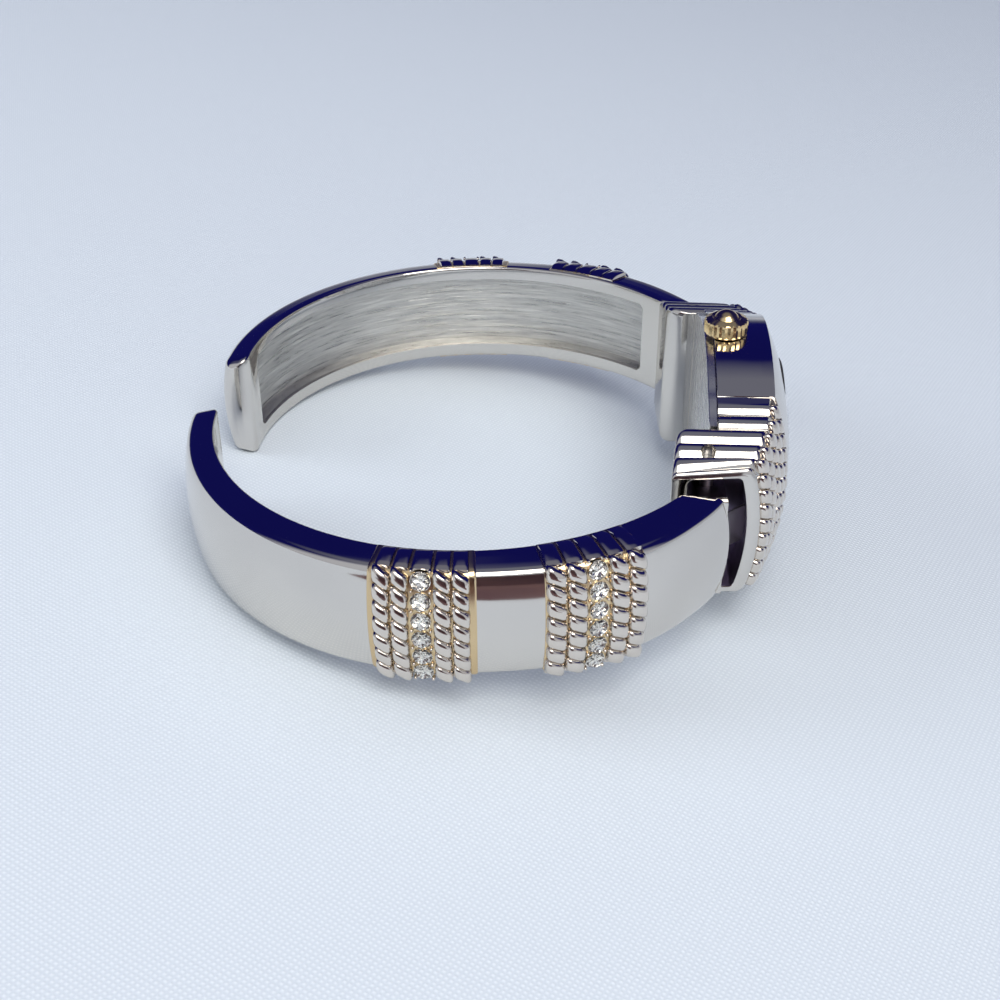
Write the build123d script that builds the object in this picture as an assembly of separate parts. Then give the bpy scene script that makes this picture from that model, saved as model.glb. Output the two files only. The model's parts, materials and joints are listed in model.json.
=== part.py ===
# Hinged bangle watch: a quartz watch head that closes two sprung arms round the wrist.
# +Z runs along the bangle's axis, +X points out of the dial, and the far arm is on the +Y side.
# The origin is the centre of the wrist opening. Lengths are in millimetres, angles in degrees.
import os
from math import acos, asin, cos, degrees, pi, radians, sin, sqrt

from build123d import *

overrun = 1.0

# Quartz movement, its holder and battery.
movement_radius = 7.65
movement_thick = 3.0
movement_back_gap = 0.4
holder_wall = 1.4
holder_clearance = 0.05
battery_wall = 0.65
battery_web = 0.45
battery_thick = 2.15
battery_clearance = 0.05
stem_height = 0.75
stem_depth = 2.35

# Hands.
hour_wheel_radius = 0.75
hour_wheel_bore = 0.5
hour_wheel_depth = 1.2
hour_hand_gap = 0.55
hand_thick = 0.2
hour_hand_length = 4.3
hour_hand_width = 0.9
minute_pinion_radius = 0.45
minute_hand_gap = 0.35
minute_hand_end_gap = 0.8
minute_hand_width = 0.7
hand_tail = 1.3
hand_boss = 0.35
hands_hour = 10
hands_minute = 10

# Case: a barrel-shaped block with two ribs at each end of its plain panel.
case_side_wall = 2.15
case_end_wall = 3.1
case_rib_count = 2
case_rib_pitch = 1.725
case_rib_depth = 0.4
barrel_radius = 24.0
case_back_x = 22.3
case_back_thick = 0.8
case_back_inset = 0.35
case_back_lip = 0.5
case_back_lip_height = 0.5
case_gasket_inset = 0.25
case_gasket_width = 0.5
case_gasket_thick = 0.3

# Dial and its markers.
dial_clearance = 0.2
dial_thick = 0.4
dial_hole_gap = 0.1
dial_ledge_width = 0.9
dial_ledge_height = 0.3
marker_rim_gap = 0.4
marker_length = 1.1
long_marker_length = 1.7
marker_width = 0.45
marker_thick = 0.2

# Bezel and crystal.
bezel_rim = 0.9
bezel_floor = 1.5
bezel_ledge = 0.6
gasket_wall = 0.25
crystal_edge = 1.15
crystal_rise = 1.15
crystal_thick = 1.2

# The head's front is part of one dome, curved along the wrist and crowned across it.
dome_wrist_radius = 41.0
dome_crown_radius = 24.5
dome_sweep = 64

# Arm section: a crowned outer face over a shallow cast channel.
arm_inner_half = 5.52
arm_lean = 0.47
arm_crown = 0.65
arm_corner = 0.8
arm_tip_lead = 4.0
arm_thick_tip = 2.9
arm_thick_shoulder = 3.5
arm_thick_middle = 2.8
arm_thick_free = 2.35
arm_shoulder_travel = 8.0
arm_middle_travel = 20.0
arm_end_round = 0.95
arm_end_bite = 0.05
arm_loft_sections = 11
channel_depth = 1.3
channel_rim = 1.47
channel_hinge_wall = 3.0
channel_free_wall = 3.5
channel_loft_sections = 8

# Shoulders: ribbed blocks with an open mouth that holds the arm's tongue.
shoulder_inner_x = 19.5
shoulder_lip = 3.1
shoulder_end_lean = 1.3
shoulder_end_run = 5.8
shoulder_flare = 1.3
shoulder_over_arm = 0.78
shoulder_rib_depth = 0.4
shoulder_rib_count = 3
shoulder_border = 0.55
shoulder_corner = 0.9
mouth_side_wall = 1.0
mouth_inner_wall = 0.8
mouth_outer_wall = 0.8
mouth_case_wall = 0.7

# Hinges.
pin_radius = 0.6
pin_recess = 0.25
pin_clearance = 0.04
knuckle_radius = 1.3
knuckle_floor_gap = 0.5
knuckle_case_gap = 0.9
tongue_side_gap = 0.6
tongue_root = 0.5
arm_end_gap = 1.1
leaf_thick = 0.25
leaf_half = 1.8
leaf_foot_length = 1.2
leaf_gap = 0.06

# Loop: the closed inner rim of an arm is two tangent arcs from the hinge end to the free end.
rim_start_step = 0.1
rim_start_heading = 131.4
hinge_arc_radius = 24.7
hinge_arc_length = 22.5
rear_arc_radius = 23.2
free_end_y = 3.35
near_arm_open = 3.6

# Rope stations: twisted columns either side of a row of stones, raised on the arm.
front_station_travel = 11.2
rear_station_travel = 23.7
rope_width = 1.5
rope_height = 0.45
rope_crest_width = 0.55
rope_strand_pitch = 1.46
rope_groove_width = 1.0
rope_groove_depth = 0.4
rope_slant = 32
head_rope_strand_pitch = 1.5
station_border = 0.5
station_plate = 0.15
station_inset = 0.2
station_loft_sections = 4
side_bar_height = 0.4

# Rhinestones: flat-backed and faceted.
stone_radius = 0.78
stone_table_share = 0.54
stone_girdle = 0.15
stone_height = 0.5
stone_glue = 0.04
stone_spacing = 0.12
stone_row_margin = 0.17
stone_facets = 8

# Crown and stem.
stem_radius = 0.45
stem_hole_clearance = 0.05
tube_wall = 0.3
tube_reach = 1.35
crown_gap = 0.15
crown_radius = 2.15
crown_knurl_depth = 0.17
crown_knurls = 24
crown_knurl_height = 1.6
crown_dome_height = 0.9
crown_dome_radius = 1.05
crown_facets = 12
crown_recess_gap = 0.35
crown_recess_depth = 1.35
stem_grip = 0.6
crown_gasket_height = 0.4
crown_gasket_gap = 0.03

# Places along the dial's axis, from the back to the apex of the crystal.
case_top_x = case_back_x + case_back_thick
movement_x = case_top_x + movement_back_gap
movement_front_x = movement_x + movement_thick
dial_ledge_x = movement_front_x + dial_thick
bezel_seat_x = dial_ledge_x + dial_ledge_height
crystal_seat_x = bezel_seat_x + bezel_floor
dome_apex_x = crystal_seat_x + crystal_edge + crystal_rise
hour_hand_x = dial_ledge_x + hour_hand_gap
minute_hand_x = hour_hand_x + hand_thick + minute_hand_gap
stem_x = movement_x + stem_height

# Sizes that follow the movement, from its holder to the outside of the case.
case_bore_radius = movement_radius + holder_wall + holder_clearance
case_half_width = case_bore_radius + case_side_wall
case_half_length = case_bore_radius + case_end_wall
plain_half_length = case_half_length - case_rib_count * case_rib_pitch
crystal_radius = plain_half_length - bezel_rim - gasket_wall
bezel_window_radius = crystal_radius - bezel_ledge
dial_radius = case_bore_radius - dial_clearance
dial_ledge_radius = dial_radius - dial_ledge_width
marker_outer_radius = bezel_window_radius - marker_rim_gap
minute_hand_length = bezel_window_radius - minute_hand_end_gap
battery_radius = (movement_radius - battery_wall - battery_web - hour_wheel_radius) / 2
battery_z = battery_radius + battery_wall - movement_radius
stem_bottom_z = movement_radius - stem_depth
tube_bore_radius = stem_radius + stem_hole_clearance
tube_radius = tube_bore_radius + tube_wall
tube_top_z = case_half_width + tube_reach
crown_root_radius = crown_radius - crown_knurl_depth
crown_recess_radius = tube_radius + crown_recess_gap
groove_inner = case_bore_radius + case_gasket_inset
groove_outer = groove_inner + case_gasket_width

# Sizes that follow the arm, and the hinge between it and the head.
arm_outer_half = arm_inner_half - arm_lean
channel_half = arm_inner_half - channel_rim
shoulder_end_half = arm_inner_half + shoulder_over_arm
shoulder_start_half = shoulder_end_half + shoulder_flare
mouth_half = shoulder_end_half - mouth_side_wall
tongue_half = mouth_half - tongue_side_gap
pin_x = shoulder_inner_x + mouth_inner_wall + knuckle_floor_gap + knuckle_radius
pin_y = case_half_length + mouth_case_wall + knuckle_case_gap + knuckle_radius
shoulder_end_y = pin_y + shoulder_lip
arm_end_y = shoulder_end_y + arm_end_gap
rim_start_x = shoulder_inner_x - rim_start_step
rim_start_y = arm_end_y + rim_start_step

# Stones fill the arm's width.
stone_row_width = 2 * (stone_radius + stone_row_margin)
stone_pitch = 2 * stone_radius + stone_spacing
stone_count = int(2 * arm_outer_half / stone_pitch)


# The rear arc ends where the rim has come round to the free end's place.
def rear_arc_length():
    turned = radians(rim_start_heading) + hinge_arc_length / hinge_arc_radius
    y = rim_start_y - hinge_arc_radius * (cos(turned) - cos(radians(rim_start_heading)))
    end_heading = 2 * pi - acos(cos(turned) + (y - free_end_y) / rear_arc_radius)
    return rear_arc_radius * (end_heading - turned)


# Places on the closed inner rim of the far arm.
def rim_place(travel):
    heading = radians(rim_start_heading)
    x, y = rim_start_x, rim_start_y
    arcs = ((hinge_arc_radius, min(travel, hinge_arc_length)),
            (rear_arc_radius, max(travel - hinge_arc_length, 0)))
    for radius, length in arcs:
        turned = heading + length / radius
        x += radius * (sin(turned) - sin(heading))
        y -= radius * (cos(turned) - cos(heading))
        heading = turned
    return x, y, heading


def arm_length():
    return hinge_arc_length + rear_arc_length()


def rim_radius(travel):
    return hinge_arc_radius if travel < hinge_arc_length else rear_arc_radius


def arm_thickness(travel):
    marks = ((-arm_tip_lead, arm_thick_tip), (arm_shoulder_travel, arm_thick_shoulder),
             (arm_middle_travel, arm_thick_middle), (arm_length(), arm_thick_free))
    for (start, thick), (end, next_thick) in zip(marks, marks[1:]):
        if travel <= end:
            return thick + (next_thick - thick) * (travel - start) / (end - start)
    return arm_thick_free


# A plane across the arm: local X points out of the loop.
def across_arm(travel):
    x, y, heading = rim_place(travel)
    return Plane(origin=(x, y, 0), x_dir=(sin(heading), -cos(heading), 0),
                 z_dir=(cos(heading), sin(heading), 0))


# An upright frame on a surface: local X is the outward normal, local Z is the bangle's axis.
def upright(x, y, direction):
    return Plane(origin=(x, y, 0), x_dir=(cos(direction), sin(direction), 0), z_dir=(0, 0, 1))


def arm_section(travel, grow=0, inset=0):
    thick = arm_thickness(travel) + grow
    inner = arm_inner_half + grow
    outer = arm_outer_half + grow
    sides = Polyline((thick, -outer), (inset, -inner), (inset, inner), (thick, outer))
    crown = ThreePointArc((thick, outer), (thick + arm_crown, 0), (thick, -outer))
    face = make_face(sides + crown)
    return across_arm(travel) * fillet(face.vertices().group_by(Axis.X)[-1], arm_corner)


def spread(start, end, count):
    return [start + (end - start) * i / (count - 1) for i in range(count)]


def arm_blank(start, end, count, grow=0, inset=0):
    return loft([arm_section(travel, grow, inset) for travel in spread(start, end, count)])


# What is cut off the free end, so that its inner and outer edges are round.
def end_waste():
    x, y, heading = rim_place(arm_length())
    crest = arm_thickness(arm_length()) + arm_crown
    height = arm_inner_half + overrun
    side = arm_end_round + overrun
    corner = Pos((arm_end_round - overrun) / 2, (overrun - arm_end_round) / 2) * Rectangle(side, side)
    centre = arm_end_round - arm_end_bite
    corner -= Pos(centre, -centre) * Circle(arm_end_round)
    inner = extrude(corner, height, both=True)
    spindle = Axis((crest - crown_of_arm(), 0, 0), (0, 1, 0))
    reach = degrees(asin(arm_inner_half / crown_of_arm()))
    outer_face = Plane.XY * Pos(crest, 0) * corner.mirror(Plane.YZ)
    outer = revolve(outer_face.rotate(spindle, -reach), spindle, 2 * reach)
    return [upright(x, y, heading - radians(90)) * cut for cut in (inner, outer)]


def make_arm():
    arm = arm_blank(-arm_tip_lead, arm_length(), arm_loft_sections)
    arm -= end_waste()
    waste = rim_start_x
    arm -= Pos(rim_start_x, arm_end_y - waste / 2, 0) * Box(2 * waste, waste, 4 * arm_inner_half)
    sections = []
    channel_end = arm_length() - channel_free_wall
    for travel in spread(channel_hinge_wall, channel_end, channel_loft_sections):
        trench = Rectangle(channel_depth + overrun, 2 * channel_half)
        sections.append(across_arm(travel) * Pos((channel_depth - overrun) / 2, 0) * trench)
    arm -= loft(sections)
    tongue_length = arm_end_y + tongue_root - pin_y
    tongue = Box(2 * knuckle_radius, tongue_length, 2 * tongue_half)
    arm += Pos(pin_x, pin_y + tongue_length / 2, 0) * tongue
    arm += Pos(pin_x, pin_y, 0) * Cylinder(knuckle_radius, 2 * tongue_half)
    return arm - Pos(pin_x, pin_y, 0) * Cylinder(pin_radius + pin_clearance, 4 * tongue_half)


# A twisted column that follows a crowned face: crest at local X zero, running along Z.
def rope_column(width, crown, half_height, strand_pitch):
    half = width / 2
    section = Polyline((-rope_height - station_plate, -half), (-rope_height / 2, -half),
                       (0, -rope_crest_width / 2), (0, rope_crest_width / 2),
                       (-rope_height / 2, half), (-rope_height - station_plate, half), close=True)
    reach = degrees(asin(half_height / crown))
    spindle = Axis((-crown, 0, 0), (0, 1, 0))
    face = make_face(section).rotate(spindle, -reach)
    column = revolve(face, spindle, 2 * reach)
    step = degrees(strand_pitch / crown)
    grooves = int(reach / step)
    flare = rope_groove_width / 2 * (rope_groove_depth + overrun) / rope_groove_depth
    notch = Polyline((-rope_groove_depth, 0), (overrun, -flare), (overrun, flare), close=True)
    wedge = extrude(Plane.XZ * make_face(notch), width, both=True)
    wedge = wedge.rotate(Axis.X, rope_slant)
    wedges = [wedge.rotate(spindle, -step * (i + 0.5)) for i in range(-grooves, grooves)]
    return column - wedges


# Half-round bars that carry a column over one edge of the arm.
def side_bar(travel, width, thick):
    half = width / 2
    ends = []
    for reach, height in ((station_inset, arm_inner_half), (thick, arm_outer_half)):
        outline = Polyline((-half, height - station_plate), (-half, height + station_plate),
                           (-half / 2, height + side_bar_height), (half / 2, height + side_bar_height),
                           (half, height + station_plate), (half, height - station_plate), close=True)
        x, y, heading = rim_place(travel)
        plane = Plane(origin=(x + reach * sin(heading), y - reach * cos(heading), 0),
                      x_dir=(cos(heading), sin(heading), 0), z_dir=(sin(heading), -cos(heading), 0))
        ends.append(plane * make_face(outline))
    return loft(ends)


def crown_of_arm():
    return (arm_outer_half ** 2 + arm_crown ** 2) / (2 * arm_crown)


def station_travels(centre):
    stretch = 1 + (arm_thickness(centre) + arm_crown) / rim_radius(centre)
    first = (stone_row_width + rope_width) / 2
    offsets = (-first - rope_width, -first, first, first + rope_width)
    return [centre + offset / stretch for offset in offsets], stretch


def make_station(centre, blank, column):
    travels, stretch = station_travels(centre)
    half = ((stone_row_width / 2) + 2 * rope_width + station_border) / stretch
    station = arm_blank(centre - half, centre + half, station_loft_sections, station_plate, station_inset)
    for travel in travels:
        x, y, heading = rim_place(travel)
        thick = arm_thickness(travel)
        crest = thick + arm_crown + rope_height
        frame = upright(x + crest * sin(heading), y - crest * cos(heading), heading - radians(90))
        station += frame * column
        bar = side_bar(travel, rope_width, thick)
        station += [bar, bar.mirror(Plane.XY)]
    wide_bar = side_bar(centre, stone_row_width, arm_thickness(centre))
    station += [wide_bar, wide_bar.mirror(Plane.XY)]
    return station - blank


def make_stones(centre):
    x, y, heading = rim_place(centre)
    lift = arm_thickness(centre) + arm_crown + station_plate
    frame = upright(x + lift * sin(heading), y - lift * cos(heading), heading - radians(90))
    radius = crown_of_arm() + station_plate
    spindle = Axis((-radius, 0, 0), (0, 1, 0))
    base = Plane.YZ * RegularPolygon(stone_radius, stone_facets)
    girdle = extrude(base, stone_girdle)
    table = Plane.YZ.offset(stone_height) * RegularPolygon(stone_radius * stone_table_share, stone_facets)
    stone = girdle + loft([Plane.YZ.offset(stone_girdle) * RegularPolygon(stone_radius, stone_facets), table])
    step = degrees(stone_pitch / radius)
    turns = [step * (i - (stone_count - 1) / 2) for i in range(stone_count)]
    return [frame * Pos(stone_glue, 0, 0) * stone.rotate(spindle, turn) for turn in turns]


# The head's domed front, as everything behind a surface that lies some depth under the dome.
def front_dome(depth):
    axis_x = dome_apex_x - dome_wrist_radius
    radius = dome_crown_radius - depth
    centre_x = dome_apex_x - dome_crown_radius
    reach = case_half_width + overrun
    edge_x = centre_x + sqrt(radius ** 2 - reach ** 2)
    crown = ThreePointArc((edge_x, -reach), (centre_x + radius, 0), (edge_x, reach))
    back = Polyline((edge_x, reach), (0, reach), (0, -reach), (edge_x, -reach))
    spindle = Axis((axis_x, 0, 0), (0, 0, 1))
    face = (Plane.XZ * make_face(crown + back)).rotate(spindle, -dome_sweep / 2)
    return revolve(face, spindle, dome_sweep)


def barrel_half(y):
    return case_half_width - barrel_radius + sqrt(barrel_radius ** 2 - y ** 2)


def shoulder_half(y):
    share = (y - case_half_length) / (shoulder_end_y - case_half_length)
    return shoulder_start_half + (shoulder_end_half - shoulder_start_half) * share


# Rounded ribs along an edge, as arcs from valley to valley.
def rib_arcs(edge_half, start, end, count, depth):
    pitch = (end - start) / count
    arcs = []
    for i in range(count):
        left = start + i * pitch
        middle, right = left + pitch / 2, left + pitch
        arcs.append(ThreePointArc((left, edge_half(left) - depth), (middle, edge_half(middle)),
                                  (right, edge_half(right) - depth)))
    return arcs


def rib_centres(start, end, count):
    pitch = (end - start) / count
    return [start + pitch * (i + 0.5) for i in range(count)]


def case_profile():
    plain = plain_half_length
    edge = barrel_half(plain)
    top = [ThreePointArc((-plain, edge), (0, case_half_width), (plain, edge)),
           Line((plain, edge), (plain, edge - case_rib_depth))]
    top += rib_arcs(barrel_half, plain, case_half_length, case_rib_count, case_rib_depth)
    corner = barrel_half(case_half_length) - case_rib_depth
    right = Line((case_half_length, corner), (case_half_length, 0))
    half = top + [right]
    half += [edge_line.mirror(Plane.YZ) for edge_line in half[1:]]
    whole = half + [edge_line.mirror(Plane.XZ) for edge_line in half]
    return make_face(Curve() + whole)


def barrel_face(half_length, inset):
    edge = barrel_half(half_length) - inset
    crest = case_half_width - inset
    top = ThreePointArc((-half_length, edge), (0, crest), (half_length, edge))
    bottom = top.mirror(Plane.XZ)
    ends = [Line((side, edge), (side, -edge)) for side in (-half_length, half_length)]
    return make_face(Curve() + [top, bottom] + ends)


def ring(inner, outer, start, end):
    disc = Circle(outer)
    if inner > 0:
        disc -= Circle(inner)
    return extrude(Plane.YZ.offset(start) * disc, end - start)


def make_case():
    back = case_top_x
    case = extrude(Plane.YZ.offset(back) * case_profile(), dome_apex_x - back)
    case &= front_dome(rope_height)
    seat_depth = dome_apex_x - bezel_seat_x
    seat = Box(seat_depth, 2 * plain_half_length, 4 * case_half_width)
    case -= Pos(bezel_seat_x + seat_depth / 2, 0, 0) * seat
    case -= ring(0, case_bore_radius, back - overrun, dial_ledge_x)
    case -= ring(0, dial_ledge_radius, dial_ledge_x - overrun, bezel_seat_x + overrun)
    case -= ring(groove_inner, groove_outer, back - overrun, back + case_gasket_thick)
    hole = Pos(stem_x, 0, case_half_width) * Cylinder(tube_radius, case_half_width)
    return case - hole


def make_case_back():
    plate = extrude(Plane.YZ.offset(case_back_x) * barrel_face(case_half_length - case_rib_depth,
                                                                case_back_inset), case_back_thick)
    lip = ring(case_bore_radius - case_back_lip, case_bore_radius, case_top_x,
               case_top_x + case_back_lip_height)
    return plate + lip


def make_bezel():
    bezel = extrude(Plane.YZ.offset(bezel_seat_x) * barrel_face(plain_half_length, 0),
                    dome_apex_x - bezel_seat_x)
    bezel &= front_dome(0)
    bezel -= ring(0, crystal_radius + gasket_wall, crystal_seat_x, dome_apex_x + overrun)
    return bezel - ring(0, bezel_window_radius, bezel_seat_x - overrun, crystal_seat_x + overrun)


# A shallow dome turned about the dial's axis: a flat back and a spherical front.
def dial_side_dome(radius, start, edge, apex):
    outline = Polyline((apex, 0), (start, 0), (start, radius), (edge, radius))
    slope = ThreePointArc((edge, radius), dome_middle(radius, edge, apex), (apex, 0))
    return revolve(make_face(outline + slope), Axis.X)


def dome_middle(radius, edge, apex):
    rise = apex - edge
    sphere = (radius ** 2 + rise ** 2) / (2 * rise)
    half = radius / 2
    return apex - sphere + sqrt(sphere ** 2 - half ** 2), half


def make_crystal():
    edge = crystal_seat_x + crystal_edge
    crystal = dial_side_dome(crystal_radius, crystal_seat_x, edge, dome_apex_x)
    hollow = dial_side_dome(bezel_window_radius, crystal_seat_x - overrun, crystal_seat_x,
                            dome_apex_x - crystal_thick)
    return crystal - hollow


def mouth_space():
    start = case_half_length + mouth_case_wall
    length = shoulder_end_y + overrun - start
    depth = dome_apex_x - shoulder_inner_x - mouth_inner_wall
    space = Pos(shoulder_inner_x + mouth_inner_wall + depth / 2, start + length / 2, 0)
    return space * Box(depth, length, 2 * mouth_half) & front_dome(rope_height + mouth_outer_wall)


def make_shoulder():
    ribs_end = shoulder_end_y - shoulder_border
    arcs = rib_arcs(shoulder_half, case_half_length, ribs_end, shoulder_rib_count, shoulder_rib_depth)
    valley = shoulder_half(ribs_end) - shoulder_rib_depth
    start_valley = shoulder_half(case_half_length) - shoulder_rib_depth
    top = arcs + [Line((ribs_end, valley), (shoulder_end_y, valley)),
                  Line((shoulder_end_y, valley), (shoulder_end_y, 0)),
                  Line((case_half_length, start_valley), (case_half_length, 0))]
    side_view = make_face(Curve() + top + [line.mirror(Plane.XZ) for line in top])
    block = extrude(Plane.YZ.offset(shoulder_inner_x) * side_view, dome_apex_x - shoulder_inner_x)
    lean = shoulder_end_lean / shoulder_end_run * (dome_apex_x - shoulder_inner_x)
    plan = Polyline((shoulder_inner_x, case_half_length), (shoulder_inner_x, shoulder_end_y),
                    (dome_apex_x, shoulder_end_y - lean), (dome_apex_x, case_half_length), close=True)
    plan_face = make_face(plan)
    inner_corner = plan_face.vertices().group_by(Axis.X)[0].sort_by(Axis.Y)[0]
    plan_face = fillet(inner_corner, shoulder_corner)
    height = 2 * (shoulder_start_half + overrun)
    block &= extrude(Plane.XY.offset(-height / 2) * plan_face, height)
    block &= front_dome(rope_height)
    block -= mouth_space()
    return block - Pos(pin_x, pin_y, 0) * Cylinder(pin_radius, height)


# Rope trim on the front, over the case's end and the shoulder.
def make_front_ropes(neighbours):
    case_ribs = rib_centres(plain_half_length, case_half_length, case_rib_count)
    shoulder_ribs = rib_centres(case_half_length, shoulder_end_y - shoulder_border, shoulder_rib_count)
    shoulder_pitch = shoulder_ribs[1] - shoulder_ribs[0]
    rows = [(y, barrel_half(y), case_rib_pitch) for y in case_ribs]
    rows += [(y, shoulder_half(y), shoulder_pitch) for y in shoulder_ribs]
    axis_x = dome_apex_x - dome_wrist_radius
    columns = []
    for y, half, pitch in rows:
        swing = asin(y / dome_wrist_radius)
        frame = upright(axis_x + dome_wrist_radius * cos(swing), y, swing)
        column = rope_column(pitch * cos(swing), dome_crown_radius, half - case_rib_depth,
                             head_rope_strand_pitch)
        columns.append(frame * column - neighbours)
    return columns


def make_pin():
    length = 2 * (shoulder_half(pin_y) - pin_recess - shoulder_rib_depth)
    return Pos(pin_x, pin_y, 0) * Cylinder(pin_radius, length)


# A leaf spring between the hood and the tongue: its foot lies on the hood's inner wall.
def make_leaf():
    foot_y = case_half_length + mouth_case_wall + leaf_gap
    bend_y = foot_y + leaf_foot_length
    hood = rope_height + mouth_outer_wall
    crown_drop = dome_crown_radius - hood - sqrt((dome_crown_radius - hood) ** 2 - leaf_half ** 2)
    hood_radius = dome_wrist_radius - hood - crown_drop
    hood_x = dome_apex_x - dome_wrist_radius + sqrt(hood_radius ** 2 - bend_y ** 2) - leaf_gap
    tip_x = pin_x + knuckle_radius + leaf_gap
    tip_y = shoulder_end_y - leaf_foot_length
    blade = Polyline((hood_x - leaf_thick, foot_y), (hood_x, foot_y), (hood_x, bend_y),
                     (tip_x + leaf_thick, tip_y), (tip_x, tip_y), (hood_x - leaf_thick, bend_y - leaf_thick),
                     close=True)
    return extrude(Plane.XY.offset(-leaf_half) * make_face(blade), 2 * leaf_half)


def make_movement():
    body = ring(0, movement_radius, movement_x, movement_front_x)
    pocket = ring(0, battery_radius + battery_clearance, movement_x - overrun,
                  movement_x + battery_thick + battery_clearance)
    body -= Pos(0, 0, battery_z) * pocket
    body -= ring(0, hour_wheel_radius + stem_hole_clearance, movement_front_x - hour_wheel_depth,
                 movement_front_x + overrun)
    hole_length = movement_radius - stem_bottom_z + overrun
    hole = Cylinder(stem_radius + stem_hole_clearance, hole_length)
    return body - Pos(stem_x, 0, stem_bottom_z - stem_hole_clearance + hole_length / 2) * hole


def make_holder():
    start = case_top_x + case_back_lip_height
    holder = ring(movement_radius, case_bore_radius - holder_clearance, start, movement_front_x)
    slot = Cylinder(stem_radius + 2 * stem_hole_clearance, case_bore_radius)
    return holder - Pos(stem_x, 0, case_bore_radius) * slot


def make_markers():
    markers = []
    for hour in range(12):
        length = long_marker_length if hour % 3 == 0 else marker_length
        baton = Box(marker_thick, length, marker_width)
        baton = Pos(dial_ledge_x + marker_thick / 2, -marker_outer_radius + length / 2, 0) * baton
        markers.append(baton.rotate(Axis.X, -hour * 360 / 12))
    return markers


# A hand that points to twelve, which is at -Y, before it is turned to its time.
def make_hand(x, length, width, hole, boss, turn):
    tip = Polyline((-length, 0), (-length / 2, -width / 2), (hand_tail, -width / 4),
                   (hand_tail, width / 4), (-length / 2, width / 2), close=True)
    face = make_face(tip) + Circle(boss)
    hand = extrude(Plane.YZ.offset(x) * (face - Circle(hole)), hand_thick)
    return hand.rotate(Axis.X, -turn)


def crown_base_z():
    return case_half_width + crown_gap


def make_crown():
    base = crown_base_z()
    points = []
    for i in range(2 * crown_knurls):
        radius = crown_radius if i % 2 else crown_root_radius
        turn = radians(i * 180 / crown_knurls)
        points.append((radius * cos(turn), radius * sin(turn)))
    knurl = extrude(Plane.XY.offset(base) * make_face(Polyline(*points, close=True)), crown_knurl_height)
    shoulder_z = base + crown_knurl_height
    dome = loft([Plane.XY.offset(shoulder_z) * RegularPolygon(crown_root_radius, crown_facets),
                 Plane.XY.offset(shoulder_z + crown_dome_height)
                 * RegularPolygon(crown_dome_radius, crown_facets)])
    crown = knurl + dome
    recess = Cylinder(crown_recess_radius, crown_recess_depth + overrun)
    crown -= Pos(0, 0, base + (crown_recess_depth - overrun) / 2) * recess
    crown -= Pos(0, 0, base + crown_recess_depth) * Cylinder(stem_radius, 2 * stem_grip)
    return Pos(stem_x, 0, 0) * crown


def make_stem():
    top = crown_base_z() + crown_recess_depth + stem_grip
    length = top - stem_bottom_z
    return Pos(stem_x, 0, stem_bottom_z + length / 2) * Cylinder(stem_radius, length)


def sleeve(inner, outer, start, end):
    return extrude(Plane.XY.offset(start) * (Circle(outer) - Circle(inner)), end - start)


def make_tube():
    start = sqrt(case_bore_radius ** 2 - tube_radius ** 2) + 2 * stem_hole_clearance
    return Pos(stem_x, 0, 0) * sleeve(tube_bore_radius, tube_radius, start, tube_top_z)


def make_crown_gasket():
    start = crown_base_z() + crown_gasket_gap
    return Pos(stem_x, 0, 0) * sleeve(tube_radius + crown_gasket_gap, crown_recess_radius - crown_gasket_gap,
                                      start, start + crown_gasket_height)


# The head.
case_middle = make_case()
bezel = make_bezel()
shoulder_far = make_shoulder()
pieces = {
    "case_middle": case_middle,
    "case_back": make_case_back(),
    "bezel": bezel,
    "crystal": make_crystal(),
    "crystal_gasket": ring(crystal_radius, crystal_radius + gasket_wall, crystal_seat_x,
                           crystal_seat_x + crystal_edge),
    "case_back_gasket": ring(groove_inner, groove_outer, case_top_x, case_top_x + case_gasket_thick),
    "crown_tube": make_tube(),
    "movement_holder": make_holder(),
    "quartz_movement": make_movement(),
    "battery": Pos(0, 0, battery_z) * ring(0, battery_radius, movement_x, movement_x + battery_thick),
    "dial": ring(hour_wheel_radius + dial_hole_gap, dial_radius, movement_front_x, dial_ledge_x),
    "dial_markers": make_markers(),
    "crown": make_crown(),
    "winding_stem": make_stem(),
    "crown_gasket": make_crown_gasket(),
}

# The hands stand at ten past ten.
wheel_start = movement_front_x - hour_wheel_depth
minute_turn = hands_minute * 360 / 60
hour_turn = (hands_hour + hands_minute / 60) * 360 / 12
pieces["hour_wheel"] = ring(hour_wheel_bore, hour_wheel_radius, wheel_start, hour_hand_x + hand_thick)
pieces["hour_hand"] = make_hand(hour_hand_x, hour_hand_length, hour_hand_width, hour_wheel_radius,
                                hour_wheel_radius + hand_boss, hour_turn)
pieces["cannon_pinion"] = ring(0, minute_pinion_radius, wheel_start, minute_hand_x + hand_thick)
pieces["minute_hand"] = make_hand(minute_hand_x, minute_hand_length, minute_hand_width,
                                  minute_pinion_radius, minute_pinion_radius + hand_boss, minute_turn)

# What comes in pairs is made on the far side and mirrored to the near side.
blank = arm_blank(-arm_tip_lead, arm_length(), arm_loft_sections)
arm_column = rope_column(rope_width, crown_of_arm() + rope_height, arm_outer_half, rope_strand_pitch)
fixed_pairs = {
    "shoulder": shoulder_far,
    "front_ropes": make_front_ropes([case_middle, bezel, shoulder_far]),
    "hinge_pin": make_pin(),
    "closing_spring": make_leaf(),
}
arm_pairs = {
    "arm": make_arm(),
    "front_station": make_station(front_station_travel, blank, arm_column),
    "rear_station": make_station(rear_station_travel, blank, arm_column),
    "front_stones": make_stones(front_station_travel),
    "rear_stones": make_stones(rear_station_travel),
}


def as_list(shape):
    return shape if isinstance(shape, list) else [shape]


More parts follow.
